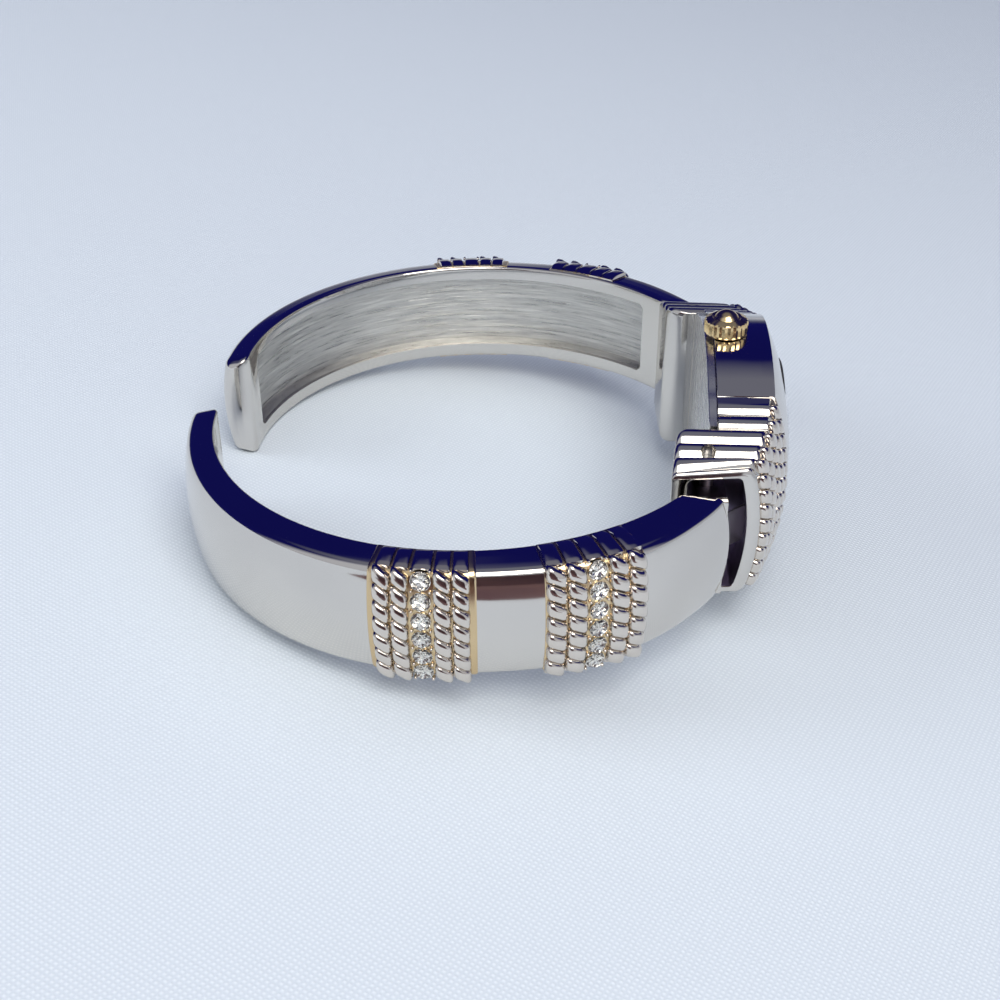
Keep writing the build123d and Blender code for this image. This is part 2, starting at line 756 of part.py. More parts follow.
# The near arm rests a little open about its pin.
near_hinge = Axis((pin_x, -pin_y, 0), (0, 0, 1))
for name, shape in (fixed_pairs | arm_pairs).items():
    mirrored = [solid.mirror(Plane.XZ) for solid in as_list(shape)]
    if name in arm_pairs:
        mirrored = [solid.rotate(near_hinge, near_arm_open) for solid in mirrored]
    pieces[name + "_far"] = shape
    pieces[name + "_near"] = mirrored

os.makedirs("parts", exist_ok=True)
for name, shape in pieces.items():
    solids = [solid for item in as_list(shape) for solid in item.solids()]
    export_step(Compound(solids), "parts/" + name + ".step")
    print(name, len(solids), "solids", round(sum(solid.volume for solid in solids), 2), "mm3")
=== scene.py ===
# Looks of a hinged bangle watch: silver plate with gold in the rope trim, round stones and a gold crown.
# Lengths are in millimetres until a mesh is made; +Z is the bangle's axis and +X comes out of the dial.
import json
import math

import bmesh
import bpy
from mathutils import Matrix, Vector


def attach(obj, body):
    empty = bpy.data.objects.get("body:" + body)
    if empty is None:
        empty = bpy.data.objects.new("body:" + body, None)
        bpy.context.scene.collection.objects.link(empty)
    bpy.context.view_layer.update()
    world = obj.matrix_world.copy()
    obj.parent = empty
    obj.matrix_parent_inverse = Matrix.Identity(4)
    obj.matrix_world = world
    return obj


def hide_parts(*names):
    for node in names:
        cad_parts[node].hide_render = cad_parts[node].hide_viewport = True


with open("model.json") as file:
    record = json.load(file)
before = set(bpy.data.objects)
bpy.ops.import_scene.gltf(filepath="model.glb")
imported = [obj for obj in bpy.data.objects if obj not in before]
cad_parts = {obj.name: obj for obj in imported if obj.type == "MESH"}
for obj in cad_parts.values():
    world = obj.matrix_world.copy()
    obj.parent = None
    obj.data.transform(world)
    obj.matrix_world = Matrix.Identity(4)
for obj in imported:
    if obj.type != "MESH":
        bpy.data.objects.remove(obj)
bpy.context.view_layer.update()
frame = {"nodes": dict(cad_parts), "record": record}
nodes = frame["nodes"]
mm = 0.001
sides = ("far", "near")

# The closed inner rim of an arm, and the hinge it turns on.
rim = {"startX": 19.4, "startY": 19.4, "heading": 131.4, "hingeRadius": 24.7, "hingeLength": 22.5,
       "rearRadius": 23.2, "freeEndY": 3.35, "nearOpen": 3.6, "pinX": 22.1, "pinY": 15.1}

# Section of an arm, how its thickness runs, and its tongue.
armBand = {"innerHalf": 5.52, "outerHalf": 5.05, "crown": 0.65, "corner": 0.8, "cornerZ": 3.9,
           "edge": 0.28, "edgeZ": 4.6, "thick": ((-4.0, 2.9), (8.0, 3.5), (20.0, 2.8), (58.7, 2.35)),
           "endY": 19.3, "endTravel": 2.0, "endRound": 1.1, "startRound": 0.6, "channelDepth": 1.3,
           "channelHalf": 4.05, "channelStart": 3.0, "channelEnd": 3.5, "channelCorner": 0.9,
           "channelWall": 0.32, "ringStep": 0.65, "tongueHalf": 4.7, "tongueEndY": 19.8, "knuckle": 1.3,
           "pinHole": 0.62}

# A station: rope, rope, stones, rope, rope on a thin gold plate.
station = {"front": {"travel": 11.2, "ropeWidth": 1.71, "border": 0.04},
           "rear": {"travel": 23.7, "ropeWidth": 1.5, "border": 0.5},
           "stoneRow": 1.9, "plate": 0.15, "inset": 0.3, "strandPitch": 1.5, "strandCount": 7,
           "strandHeight": 0.66, "strandFill": 0.99, "slant": 27, "barHeight": 0.40, "barReach": 4.9,
           "barFill": 0.97, "barPower": 3.6}

stone = {"radius": 0.86, "table": 0.48, "height": 0.52, "lift": 0.04, "pitch": 1.78, "count": 6, "facets": 8,
         "bead": 0.16, "beadHeight": 0.5, "beadInset": 0.2}

# The head: a domed front, a barrel side and two ribs at each end.
head = {"apexX": 31.0, "wristRadius": 41.0, "crownRadius": 24.5, "halfWidth": 11.25, "barrelRadius": 24.0,
        "panelRadius": 19.3, "plainHalf": 8.75, "plainEdge": 9.15, "endSlope": 0.342, "halfLength": 12.2,
        "ribDepth": 0.4, "ribs": 2, "drawnIn": 0.95, "firstRib": 0.87, "ribDrop": 0.08, "ribSlope": 0.25,
        "ropeDepth": 0.45, "rowX": 27.5, "strandPitch": 1.5, "strandWidth": 1.72, "strandHeight": 0.62}

# A shoulder's ribbed block, and the mouth in its end.
shoulder = {"innerX": 19.5, "innerSlope": 0.12, "startY": 12.1, "endY": 17.85, "lean": 0.12,
            "startHalf": 8.0, "endHalf": 6.45, "ribs": 3, "ribDepth": 0.5, "border": 0.6, "corner": 1.5,
            "middleX": 22, "frontX": 25, "edge": 0.5, "endRound": 0.28, "mouthX": 20.3, "mouthY": 16.5,
            "mouthDepth": 1.65, "mouthHalf": 5.62, "mouthBackY": 12.95, "mouthEdge": 0.5, "pinHole": 0.64,
            "rowInset": 0.25}

# The crown, as radius and height over the case; its skirt is knurled and its shoulder is cut in facets.
crown = {"stemX": 24.25, "base": 11.28, "knurls": 24, "knurlDepth": 0.05, "facets": 12, "corners": 96,
         "profile": ((1.15, 1.3, ""), (1.15, 0.0, ""), (1.86, 0.0, ""), (2.0, 0.1, "knurl"),
                     (2.04, 0.25, "knurl"), (2.04, 1.15, "knurl"), (1.99, 1.32, "knurl"),
                     (1.86, 1.42, "facet"), (1.42, 1.62, "facet"), (1.32, 1.6, ""), (1.22, 1.54, ""),
                     (1.16, 1.54, "")),
         "domeRadius": 1.12, "domeFoot": 1.58, "domeTop": 2.22}

# The crystal's domes and seat along x, and its radii round the dial's axis.
crystal = {"innerApex": 29.8, "seat": 28.7, "window": 7.0, "radius": 7.58, "edge": 29.85, "apex": 31.0,
           "bevel": 0.08, "steps": 96}

dialPrint = {"faceX": 26.9, "track": 6.72, "tick": (0.1, 0.34, 0.03), "fiveTick": (0.17, 0.42, 0.03)}


def log(text):
    print("scene:", text)


# Materials. A socket takes a value or another node's output.

def feed(tree, socket, value):
    if isinstance(value, bpy.types.NodeSocket):
        tree.links.new(value, socket)
    else:
        socket.default_value = value


def addNode(tree, kind, **values):
    node = tree.nodes.new(kind)
    for name, value in values.items():
        feed(tree, node.inputs[name.replace("_", " ")], value)
    return node


def addMath(tree, operation, *values):
    node = tree.nodes.new("ShaderNodeMath")
    node.operation = operation
    for socket, value in zip(node.inputs, values):
        feed(tree, socket, value)
    return node.outputs[0]


def mixColours(tree, share, first, second):
    mix = tree.nodes.new("ShaderNodeMix")
    mix.data_type = "RGBA"
    for k, value in ((0, share), (6, first), (7, second)):
        feed(tree, mix.inputs[k], (*value, 1) if isinstance(value, tuple) else value)
    return mix.outputs[2]


def objectNoise(tree, scale, detail, stretch=(1, 1, 1)):
    place = addNode(tree, "ShaderNodeTexCoord").outputs["Object"]
    lay = addNode(tree, "ShaderNodeMapping", Vector=place, Scale=stretch).outputs[0]
    return addNode(tree, "ShaderNodeTexNoise", Vector=lay, Scale=scale, Detail=detail).outputs["Fac"]


# From low to high as the source goes from 0 to 1.
def spread(tree, source, low, high):
    return addNode(tree, "ShaderNodeMapRange", Value=source, To_Min=low, To_Max=high).outputs["Result"]


# From 0 to 1 as the source goes from start to end.
def rise(tree, source, start, end):
    return addNode(tree, "ShaderNodeMapRange", Value=source, From_Min=start, From_Max=end).outputs["Result"]


def newMaterial(name, colour, metallic, roughness):
    material = bpy.data.materials.new(name)
    material.use_nodes = True
    shader = material.node_tree.nodes["Principled BSDF"]
    shader.inputs["Base Color"].default_value = (*colour, 1)
    shader.inputs["Metallic"].default_value = metallic
    shader.inputs["Roughness"].default_value = roughness
    return material, material.node_tree, shader


def bumpFrom(tree, shader, source, strength, distance):
    bump = addNode(tree, "ShaderNodeBump", Height=source, Strength=strength, Distance=distance)
    tree.links.new(bump.outputs["Normal"], shader.inputs["Normal"])


def tintFrom(tree, shader, source, dark, light):
    tree.links.new(mixColours(tree, source, dark, light), shader.inputs["Base Color"])


def hazeFrom(tree, shader, source, low, high):
    tree.links.new(spread(tree, source, low, high), shader.inputs["Roughness"])


def platedMetal(name, dark, light, roughLow, roughHigh, wave):
    material, tree, shader = newMaterial(name, light, 1, roughLow)
    hazeFrom(tree, shader, objectNoise(tree, 260, 5), roughLow, roughHigh)
    tintFrom(tree, shader, objectNoise(tree, 90, 2), dark, light)
    bumpFrom(tree, shader, objectNoise(tree, 170, 2), wave, 0.0004)
    return material


def castMetal():
    # Streaks run along the band, so the pattern reads the band's own travel and height.
    material, tree, shader = newMaterial("castChannel", (0.70, 0.69, 0.64), 1, 0.3)
    band = tree.nodes.new("ShaderNodeAttribute")
    band.attribute_name = "band"
    lay = addNode(tree, "ShaderNodeMapping", Vector=band.outputs["Vector"], Scale=(0.10, 1.9, 1.0))
    noise = addNode(tree, "ShaderNodeTexNoise", Vector=lay.outputs[0], Scale=1.6, Detail=6.0, Roughness=0.65)
    streak = noise.outputs["Fac"]
    sharpened = rise(tree, streak, 0.36, 0.66)
    hazeFrom(tree, shader, sharpened, 0.24, 0.46)
    tintFrom(tree, shader, sharpened, (0.53, 0.52, 0.49), (0.86, 0.85, 0.80))
    bumpFrom(tree, shader, streak, 0.42, 0.0006)
    return material


def brushedMetal(name, colour, roughness):
    material, tree, shader = newMaterial(name, colour, 1, roughness)
    grain = objectNoise(tree, 900, 3, (1, 1, 0.04))
    hazeFrom(tree, shader, grain, roughness * 0.6, roughness * 1.5)
    bumpFrom(tree, shader, grain, 0.15, 0.0001)
    return material


def moulded(name, colour, roughness):
    material, tree, shader = newMaterial(name, colour, 0, roughness)
    speck = objectNoise(tree, 1200, 4)
    tintFrom(tree, shader, speck, tuple(0.85 * c for c in colour), colour)
    bumpFrom(tree, shader, speck, 0.15, 0.00005)
    return material


def clearGlass(name, index, tint):
    material, tree, shader = newMaterial(name, tint, 0, 0.0)
    shader.inputs["Transmission Weight"].default_value = 1
    shader.inputs["IOR"].default_value = index
    hazeFrom(tree, shader, objectNoise(tree, 120, 3), 0.0, 0.02)
    return material


def darkDial():
    material, tree, shader = newMaterial("darkDial", (0.012, 0.012, 0.03), 0, 0.28)
    tintFrom(tree, shader, objectNoise(tree, 420, 4), (0.008, 0.008, 0.02), (0.018, 0.018, 0.045))
    shader.inputs["Coat Weight"].default_value = 0.7
    shader.inputs["Coat Roughness"].default_value = 0.06
    return material


finish = {
    "silver": platedMetal("silverPlate", (0.63, 0.60, 0.56), (0.74, 0.705, 0.65), 0.03, 0.12, 0.05),
    "rope": platedMetal("ropeSilver", (0.66, 0.60, 0.53), (0.80, 0.74, 0.67), 0.05, 0.14, 0.04),
    "gold": platedMetal("goldPlate", (0.66, 0.42, 0.17), (0.90, 0.66, 0.34), 0.10, 0.24, 0.06),
    "crownGold": platedMetal("crownGold", (0.80, 0.57, 0.27), (0.98, 0.78, 0.44), 0.13, 0.24, 0.05),
    "paleGold": platedMetal("paleGoldPlate", (0.56, 0.39, 0.20), (0.88, 0.71, 0.45), 0.12, 0.30, 0.06),
    # Inside the mouths: the dark purple-grey colour is painted shade, standing in for the shadow in the
    # hollow; the grain and roughness give a duller metal.
    "hollowShade": brushedMetal("paintedShadeHollow", (0.26, 0.22, 0.32), 0.34),
    "foil": platedMetal("stoneFoil", (0.82, 0.79, 0.73), (0.98, 0.96, 0.91), 0.03, 0.08, 0.02),
    "cast": castMetal(),
    "back": brushedMetal("brushedBack", (0.72, 0.71, 0.69), 0.26),
    "steel": brushedMetal("pinSteel", (0.58, 0.57, 0.55), 0.30),
    "brass": brushedMetal("movementMetal", (0.74, 0.66, 0.48), 0.32),
    "seal": moulded("sealRubber", (0.03, 0.03, 0.032), 0.55),
    "plastic": moulded("holderPlastic", (0.82, 0.80, 0.74), 0.42),
    "ink": moulded("paleInk", (0.72, 0.68, 0.58), 0.4),
    "glass": clearGlass("mineralGlass", 1.52, (1, 1, 1)),
    "stone": clearGlass("rhinestone", 1.62, (1.0, 0.99, 0.97)),
    "dial": darkDial(),
}

slotFinish = {"silver_plate": "silver", "two_tone_rope": "rope", "gold_plate": "gold", "steel": "steel",
              "mineral_glass": "glass", "rhinestone": "stone", "seal": "seal", "holder_plastic": "plastic",
              "movement_metal": "brass", "dial_face": "dial"}
for entry in frame["record"]["subparts"]:
    mesh = nodes[entry["node"]].data
    mesh.materials.clear()
    mesh.materials.append(finish[slotFinish[entry["material_slot"]]])
log("materials")


# Placing and joining.

def rimPlace(travel):
    heading = math.radians(rim["heading"])
    x, y = rim["startX"], rim["startY"]
    arcs = ((rim["hingeRadius"], min(travel, rim["hingeLength"])),
            (rim["rearRadius"], max(travel - rim["hingeLength"], 0)))
    for radius, length in arcs:
        turned = heading + length / radius
        x += radius * (math.sin(turned) - math.sin(heading))
        y -= radius * (math.cos(turned) - math.cos(heading))
        heading = turned
    return x, y, heading


def armLength():
    y, heading = rimPlace(rim["hingeLength"])[1:]
    end = 2 * math.pi - math.acos(math.cos(heading) + (y - rim["freeEndY"]) / rim["rearRadius"])
    return rim["hingeLength"] + rim["rearRadius"] * (end - heading)


def armPoint(travel, out, z):
    x, y, heading = rimPlace(travel)
    return Vector((x + out * math.sin(heading), y - out * math.cos(heading), z))


# Far pieces are mirrored to the near side; what rides on the near arm is then turned a little open.
def sidePlace(side, onArm):
    if side == "far":
        return Matrix.Identity(4)
    place = Matrix.Scale(-1, 4, (0, 1, 0))
    if onArm:
        pin = Vector((rim["pinX"], -rim["pinY"], 0))
        turn = Matrix.Rotation(math.radians(rim["nearOpen"]), 4, "Z")
        place = Matrix.Translation(pin) @ turn @ Matrix.Translation(-pin) @ place
    return place


# Closed loops of equal length, joined by quads and capped; wrap joins the last loop to the first instead.
def skin(loops, wrap=False):
    count = len(loops[0])
    verts = [Vector(point) for loop in loops for point in loop]
    faces = []
    for i in range(len(loops) if wrap else len(loops) - 1):
        a, b = i * count, (i + 1) % len(loops) * count
        faces += [(a + k, a + (k + 1) % count, b + (k + 1) % count, b + k) for k in range(count)]
    if not wrap:
        faces += [tuple(range(count))[::-1], tuple(range(len(verts) - count, len(verts)))]
    return verts, faces


def joined(parts):
    verts, faces = [], []
    for partVerts, partFaces in parts:
        start = len(verts)
        verts += partVerts
        faces += [tuple(start + k for k in face) for face in partFaces]
    return verts, faces


def newObject(name, data):
    holder = bpy.data.objects.new(name, data)
    bpy.context.scene.collection.objects.link(holder)
    return holder


# Doubles are merged and faces turned outwards.
def cleanMesh(mesh):
    work = bmesh.new()
    work.from_mesh(mesh)
    bmesh.ops.remove_doubles(work, verts=work.verts, dist=0.5e-6)
    bmesh.ops.recalc_face_normals(work, faces=work.faces)
    work.to_mesh(mesh)
    work.free()


def makePiece(name, shape, finishes, place=None, marks=None, band=None, sharp=35):
    verts, faces = shape
    place = place or Matrix.Identity(4)
    mesh = bpy.data.meshes.new(name)
    mesh.from_pydata([(place @ vert) * mm for vert in verts], [], faces)
    for entry in finishes:
        mesh.materials.append(finish[entry])
    if marks:
        mesh.polygons.foreach_set("material_index", marks)
    if band:
        layer = mesh.attributes.new("band", "FLOAT_VECTOR", "POINT")
        layer.data.foreach_set("vector", [value for row in band for value in row])
    cleanMesh(mesh)
    mesh.shade_smooth()
    mesh.set_sharp_from_angle(angle=math.radians(sharp))
    return newObject(name, mesh)


def settle(piece, body, slotName, *replaced):
    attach(piece, body)
    if replaced:
        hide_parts(*replaced)


def between(start, end, count):
    return [start + (end - start) * i / (count - 1) for i in range(count)]


# Evenly spaced angles about 0.
def fan(count, step):
    return [step * (i - (count - 1) / 2) for i in range(count)]


# Cosine and sine of evenly spaced corners round a circle.
def circle(count, shift=0):
    turns = [2 * math.pi * (k + shift) / count for k in range(count)]
    return [(math.cos(turn), math.sin(turn)) for turn in turns]


def square(half):
    return ((-half, -half), (half, -half), (half, half), (-half, half))


# The lower half of a loop mirrors its upper half.
def mirroredLoop(points):
    return points + [Vector((p.x, p.y, -p.z)) for p in points[-2:0:-1]]


# A round corner as points from one side to the other.
def roundCorner(before, corner, after, radius, steps):
    before, corner, after = Vector(before), Vector(corner), Vector(after)
    first, last = (before - corner).normalized(), (after - corner).normalized()
    half = first.angle(last) / 2
    centre = corner + (first + last).normalized() * radius / math.sin(half)
    start = corner + first * radius / math.tan(half) - centre
    end = corner + last * radius / math.tan(half) - centre
    turn = math.atan2(start.x * end.y - start.y * end.x, start.dot(end))
    return [tuple(centre + Matrix.Rotation(turn * i / steps, 2) @ start) for i in range(steps + 1)]


def smooth(share):
    share = min(max(share, 0), 1)
    return share * share * (3 - 2 * share)


# Arms.

def armThick(travel):
    marks = armBand["thick"]
    for (start, thick), (end, nextThick) in zip(marks, marks[1:]):
        if travel <= end:
            return thick + (nextThick - thick) * smooth((travel - start) / (end - start))
    return marks[-1][1]


def crownRadius():
    return (armBand["outerHalf"] ** 2 + armBand["crown"] ** 2) / (2 * armBand["crown"])


def crownOut(thick, z):
    return thick + armBand["crown"] - crownRadius() + math.sqrt(crownRadius() ** 2 - z * z)


# Half the section, from the middle of the inner face to the crown, as (out, z).
def halfSection(thick):
    inner, outer, wall = armBand["innerHalf"], armBand["outerHalf"], armBand["channelHalf"]
    edgeZ, cornerZ = armBand["edgeZ"], armBand["cornerZ"]
    points = [(0, z) for z in between(0, wall - 0.5, 11)]
    points += [(0, wall + step) for step in (-0.3, -0.2, -0.1, 0, 0.12)] + [(0, edgeZ)]
    points += roundCorner((0, edgeZ), (0, inner), (thick, outer), armBand["edge"], 4)
    points += [(thick * share, inner + (outer - inner) * share) for share in (0.35, 0.6)]
    crownEdge = (crownOut(thick, cornerZ), cornerZ)
    points += roundCorner((0, inner), (thick, outer), crownEdge, armBand["corner"], 6)
    points += [(crownOut(thick, z), z) for z in (cornerZ, 3.2, 2.4, 1.6, 0.8, 0)]
    return points


# Where a line at some distance out from the rim crosses the flat end in the mouth.
def startTravel(out):
    low, high = -8.0, 3.0
    for _ in range(40):
        middle = (low + high) / 2
        if armPoint(middle, out, 0).y < armBand["endY"]:
            low = middle
        else:
            high = middle
    return low


def channelShare(travel, z):
    corner = armBand["channelCorner"]
    start, end = armBand["channelStart"], armLength() - armBand["channelEnd"]
    along = abs(travel - (start + end) / 2) - (end - start) / 2 + corner
    across = abs(z) - armBand["channelHalf"] + corner
    outside = math.hypot(max(along, 0), max(across, 0)) + min(max(along, across), 0) - corner
    return smooth(-outside / armBand["channelWall"])


# The cast floor of the channel is faintly rippled along the band.
def castRipple(travel, z):
    wander = 0.5 * math.sin(0.21 * travel)
    return 0.035 * (math.sin(4.3 * z + wander) + 0.6 * math.sin(7.9 * z - 1.7 * wander + 0.11 * travel))


def armShape():
    length, radius, endTravel = armLength(), armBand["endRound"], armBand["endTravel"]
    # Each ring is (share of the way from the flat end, travel, turn round the end).
    rings = [(0, None, -math.radians(a)) for a in (90, 68, 45, 22)]
    rings += [(share, None, 0) for share in between(0.3, 0.83, 4)]
    travels = [endTravel, 2.6, 2.9, 3.0, 3.08, 3.16, 3.24, 3.32, 3.45, 3.7, 4.1]
    last = length - armBand["channelEnd"]
    count = int((last - 0.8 - 4.7) / armBand["ringStep"])
    travels += between(4.7, last - 0.8, count)
    travels += [last + step for step in (-0.55, -0.4, -0.3, -0.2, -0.1, 0, 0.2, 0.8, 1.5)]
    rings += [(1, travel, 0) for travel in travels]
    rings += [(1, length - radius + radius * math.sin(turn), turn) for turn in between(0, math.pi / 2, 7)]
    loops, band = [], []
    for back, travel, turn in rings:
        ringTravel = startTravel(1.5) * (1 - back) + endTravel * back if travel is None else travel
        thick = armThick(ringTravel)
        whole = thick + armBand["crown"]
        # The end in the mouth is rounded all round, the free end most across its thickness.
        reach, squeeze = (armBand["startRound"], 1) if turn < 0 else (radius, 0.75)
        shrink = reach * (1 - math.cos(turn))
        tall = 1 - squeeze * shrink / armBand["innerHalf"]
        loop, half = [], halfSection(thick)
        for out, z in half + [(out, -z) for out, z in half[-2:0:-1]]:
            spot = shrink + out * (whole - 2 * shrink) / whole
            place = ringTravel if travel is not None else startTravel(spot) * (1 - back) + endTravel * back
            if turn < 0:
                place += reach * (1 + math.sin(turn))
            if out == 0:
                spot += (armBand["channelDepth"] + castRipple(place, z)) * channelShare(place, z)
            loop.append(armPoint(place, spot, z * tall))
            band.append((place, z, out))
        loops.append(loop)
    return loops, band


def tongueShape():
    radius, half, hole = armBand["knuckle"], armBand["tongueHalf"], armBand["pinHole"]
    reach = armBand["tongueEndY"] - rim["pinY"]
    centre = Vector((rim["pinX"], rim["pinY"], 0))
    outline = [(radius, reach)]
    outline += [(radius * math.cos(a), radius * math.sin(a)) for a in between(0, -math.pi, 19)]
    outline += [(-radius, reach), (0, reach)]
    bore = [(hole * x / math.hypot(x, y), hole * y / math.hypot(x, y)) for x, y in outline]
    loops = [[centre + Vector((x, y, z)) for x, y in points]
             for points, z in ((outline, -half), (outline, half), (bore, half), (bore, -half))]
    return skin(loops, wrap=True)


def makeArm(side):
    loops, band = armShape()
    shell, tongue = skin(loops), tongueShape()
    marks = []
    for face in shell[1]:
        deep = len(face) == 4 and all(band[k][2] == 0 and channelShare(band[k][0], band[k][1]) > 0.02
                                      for k in face)
        marks.append(1 if deep else 0)
    marks += [0] * len(tongue[1])
    band += [(0, 0, 1)] * len(tongue[0])
    shape = joined([shell, tongue])
    piece = makePiece("bangleArm_" + side, shape, ["silver", "cast"], sidePlace(side, True), marks, band)
    settle(piece, side + "_arm", "silver_plate", "arm_" + side)


for side in sides:
    makeArm(side)
log("arms")


# Repeats: one small shape set on many places by a Geometry Nodes tree.

def repeatTree():
    tree = bpy.data.node_groups.new("setOnPlaces", "GeometryNodeTree")
    sockets = (("Places", "Geometry"), ("Shape", "Object"), ("Size", "Vector"), ("Finish", "Material"),
               ("Unevenness", "Float"), ("Seed", "Int"))
    for name, kind in sockets:
        tree.interface.new_socket(name, in_out="INPUT", socket_type="NodeSocket" + kind)
    tree.interface.new_socket("Set pieces", in_out="OUTPUT", socket_type="NodeSocketGeometry")
    given = tree.nodes.new("NodeGroupInput").outputs
    shape = addNode(tree, "GeometryNodeObjectInfo", Object=given["Shape"])
    axes = []
    for name in ("across", "outward"):
        axis = tree.nodes.new("GeometryNodeInputNamedAttribute")
        axis.data_type = "FLOAT_VECTOR"
        axis.inputs["Name"].default_value = name
        axes.append(axis.outputs["Attribute"])
    turn = addNode(tree, "FunctionNodeAxesToRotation", Primary_Axis=axes[1], Secondary_Axis=axes[0])
    turn.primary_axis, turn.secondary_axis = "Z", "X"
    chance = addNode(tree, "FunctionNodeRandomValue", Seed=given["Seed"])
    feed(tree, chance.inputs[2], addMath(tree, "SUBTRACT", 1, given["Unevenness"]))
    feed(tree, chance.inputs[3], addMath(tree, "ADD", 1, given["Unevenness"]))
    size = tree.nodes.new("ShaderNodeVectorMath")
    size.operation = "SCALE"
    feed(tree, size.inputs[0], given["Size"])
    feed(tree, size.inputs["Scale"], chance.outputs[1])
    setOn = addNode(tree, "GeometryNodeInstanceOnPoints", Points=given["Places"],
                    Instance=shape.outputs["Geometry"], Rotation=turn.outputs["Rotation"],
                    Scale=size.outputs["Vector"])
    real = addNode(tree, "GeometryNodeRealizeInstances", Geometry=setOn.outputs["Instances"])
    coat = addNode(tree, "GeometryNodeSetMaterial", Geometry=real.outputs["Geometry"],
                   Material=given["Finish"])
    addNode(tree, "NodeGroupOutput", Set_pieces=coat.outputs["Geometry"])
    return tree


setOnPlaces = repeatTree()


def evaluatedMesh(piece):
    bpy.context.view_layer.update()
    return bpy.data.meshes.new_from_object(piece.evaluated_get(bpy.context.evaluated_depsgraph_get()))


# Each place is (point, across, outward); size scales the unit shape in millimetres.
def setRepeats(name, places, shape, size, coat, place, unevenness=0.0, seed=1):
    mesh = bpy.data.meshes.new(name + "Places")
    mesh.from_pydata([(place @ point) * mm for point, _, _ in places], [], [])
    turn = place.to_3x3()
    for label, which in (("across", 1), ("outward", 2)):
        layer = mesh.attributes.new(label, "FLOAT_VECTOR", "POINT")
        layer.data.foreach_set("vector", [value for row in places for value in turn @ row[which]])
    carrier = newObject(name + "Places", mesh)
    modifier = carrier.modifiers.new("setOnPlaces", "NODES")
    modifier.node_group = setOnPlaces
    values = {"Shape": shape, "Size": Vector(size) * mm, "Finish": finish[coat], "Unevenness": unevenness,
              "Seed": seed}
    for item in setOnPlaces.interface.items_tree:
        if item.in_out == "INPUT" and item.name in values:
            modifier[item.identifier] = values[item.name]
    baked = evaluatedMesh(carrier)
    carrier.modifiers.remove(modifier)
    bpy.data.objects.remove(carrier)
    baked.name = name
    return newObject(name, baked)


# Unit shapes stay out of the scene, where only the tree reads them.
def unitShape(name, shape, smoothFaces=True):
    mesh = bpy.data.meshes.new(name)
    mesh.from_pydata(shape[0], [], shape[1])
    cleanMesh(mesh)
    if smoothFaces:
        mesh.shade_smooth()
    return bpy.data.objects.new(name, mesh)


# Each level is (half its width, height, power of its outline): 2 is round and 7 is nearly square.
def domeLoops(levels, corners):
    loops = []
    for level, height, power in levels:
        loop = []
        for c, s in circle(corners):
            size = level / (abs(c) ** power + abs(s) ** power) ** (1 / power)
            loop.append(Vector((size * c, size * s, height)))
        loops.append(loop)
    return loops


# A plump strand, one wide, long and high, sheared by the rope's slant; hand is 1 or -1.
def strandShape(hand):
    slope = hand * math.tan(math.radians(station["slant"]))
    loops = domeLoops(((0.5, -0.25, 7), (0.5, 0.05, 7), (0.482, 0.42, 6), (0.435, 0.72, 4.6),
                       (0.32, 0.92, 3.4), (0.12, 1.0, 2.4)), 16)
    for loop in loops:
        for point in loop:
            point.y += slope * (1.3 * point.x - 1.6 * point.x ** 3)
    return skin(loops)


def beadShape():
    levels = ((0.5, -0.3, 2), (0.5, 0.1, 2), (0.43, 0.35, 2), (0.28, 0.55, 2), (0.1, 0.63, 2))
    return skin(domeLoops(levels, 8))


# A faceted stone, two wide and one high, and the pleated foil that shows through it.
def stoneShape():
    table = stone["table"] / stone["radius"]
    rings = ((1.0, 0.0, 0), (1.0, 0.16, 0), (0.8, 0.62, 0.5), (table, 1.0, 0))
    return skin([[Vector((radius * c, radius * s, height)) for c, s in circle(stone["facets"], shift)]
                 for radius, height, shift in rings])


def foilShape():
    corners = circle(2 * stone["facets"])
    return skin([[Vector((0.98 * c, 0.98 * s, -0.1)) for c, s in corners],
                 [Vector((0.98 * c, 0.98 * s, 0.05 if k % 2 else 0.3)) for k, (c, s) in enumerate(corners)],
                 [Vector((0, 0, 0.02)) for corner in corners]])


unit = {
    "farStrand": unitShape("farStrand", strandShape(1)),
    "nearStrand": unitShape("nearStrand", strandShape(-1)),
    "bead": unitShape("bead", beadShape()),
    "stone": unitShape("stoneUnit", stoneShape(), False),
    "foil": unitShape("foilUnit", foilShape(), False),
}


# Rope stations.

def stationTravels(label):
    centre, width = station[label]["travel"], station[label]["ropeWidth"]
    stretch = 1 + (armThick(centre) + armBand["crown"]) / rim["hingeRadius"]
    first = (station["stoneRow"] + width) / 2
    return [centre + shift / stretch for shift in (-first - width, -first, first, first + width)], stretch


# A place on a crowned face: the point, the way along the bangle and the way out.
def crownedPlace(centre, heading, radius, angle):
    normal = Vector((math.cos(heading), math.sin(heading), 0))
    outward = normal * math.cos(angle) + Vector((0, 0, math.sin(angle)))
    return centre + outward * radius, Vector((-normal.y, normal.x, 0)), outward


def crownPlace(travel, angle, lift):
    centre = armPoint(travel, armThick(travel) + armBand["crown"] - crownRadius(), 0)
    return crownedPlace(centre, rimPlace(travel)[2] - math.pi / 2, crownRadius() + lift, angle)


# The outer part of a section as pairs of a spot and its normal, from one inner edge round to the other.
def wrapLine(travel):
    half = [spot for spot in halfSection(armThick(travel)) if spot[0] > station["inset"]]
    line = half + [(out, -z) for out, z in half[-2::-1]]
    pairs = []
    for k, spot in enumerate(line):
        step = Vector(line[min(k + 1, len(line) - 1)]) - Vector(line[max(k - 1, 0)])
        pairs.append((spot, Vector((-step.y, step.x)).normalized()))
    return pairs


def lifted(travel, spot, normal, lift):
    return armPoint(travel, spot[0] + normal.x * lift, spot[1] + normal.y * lift)


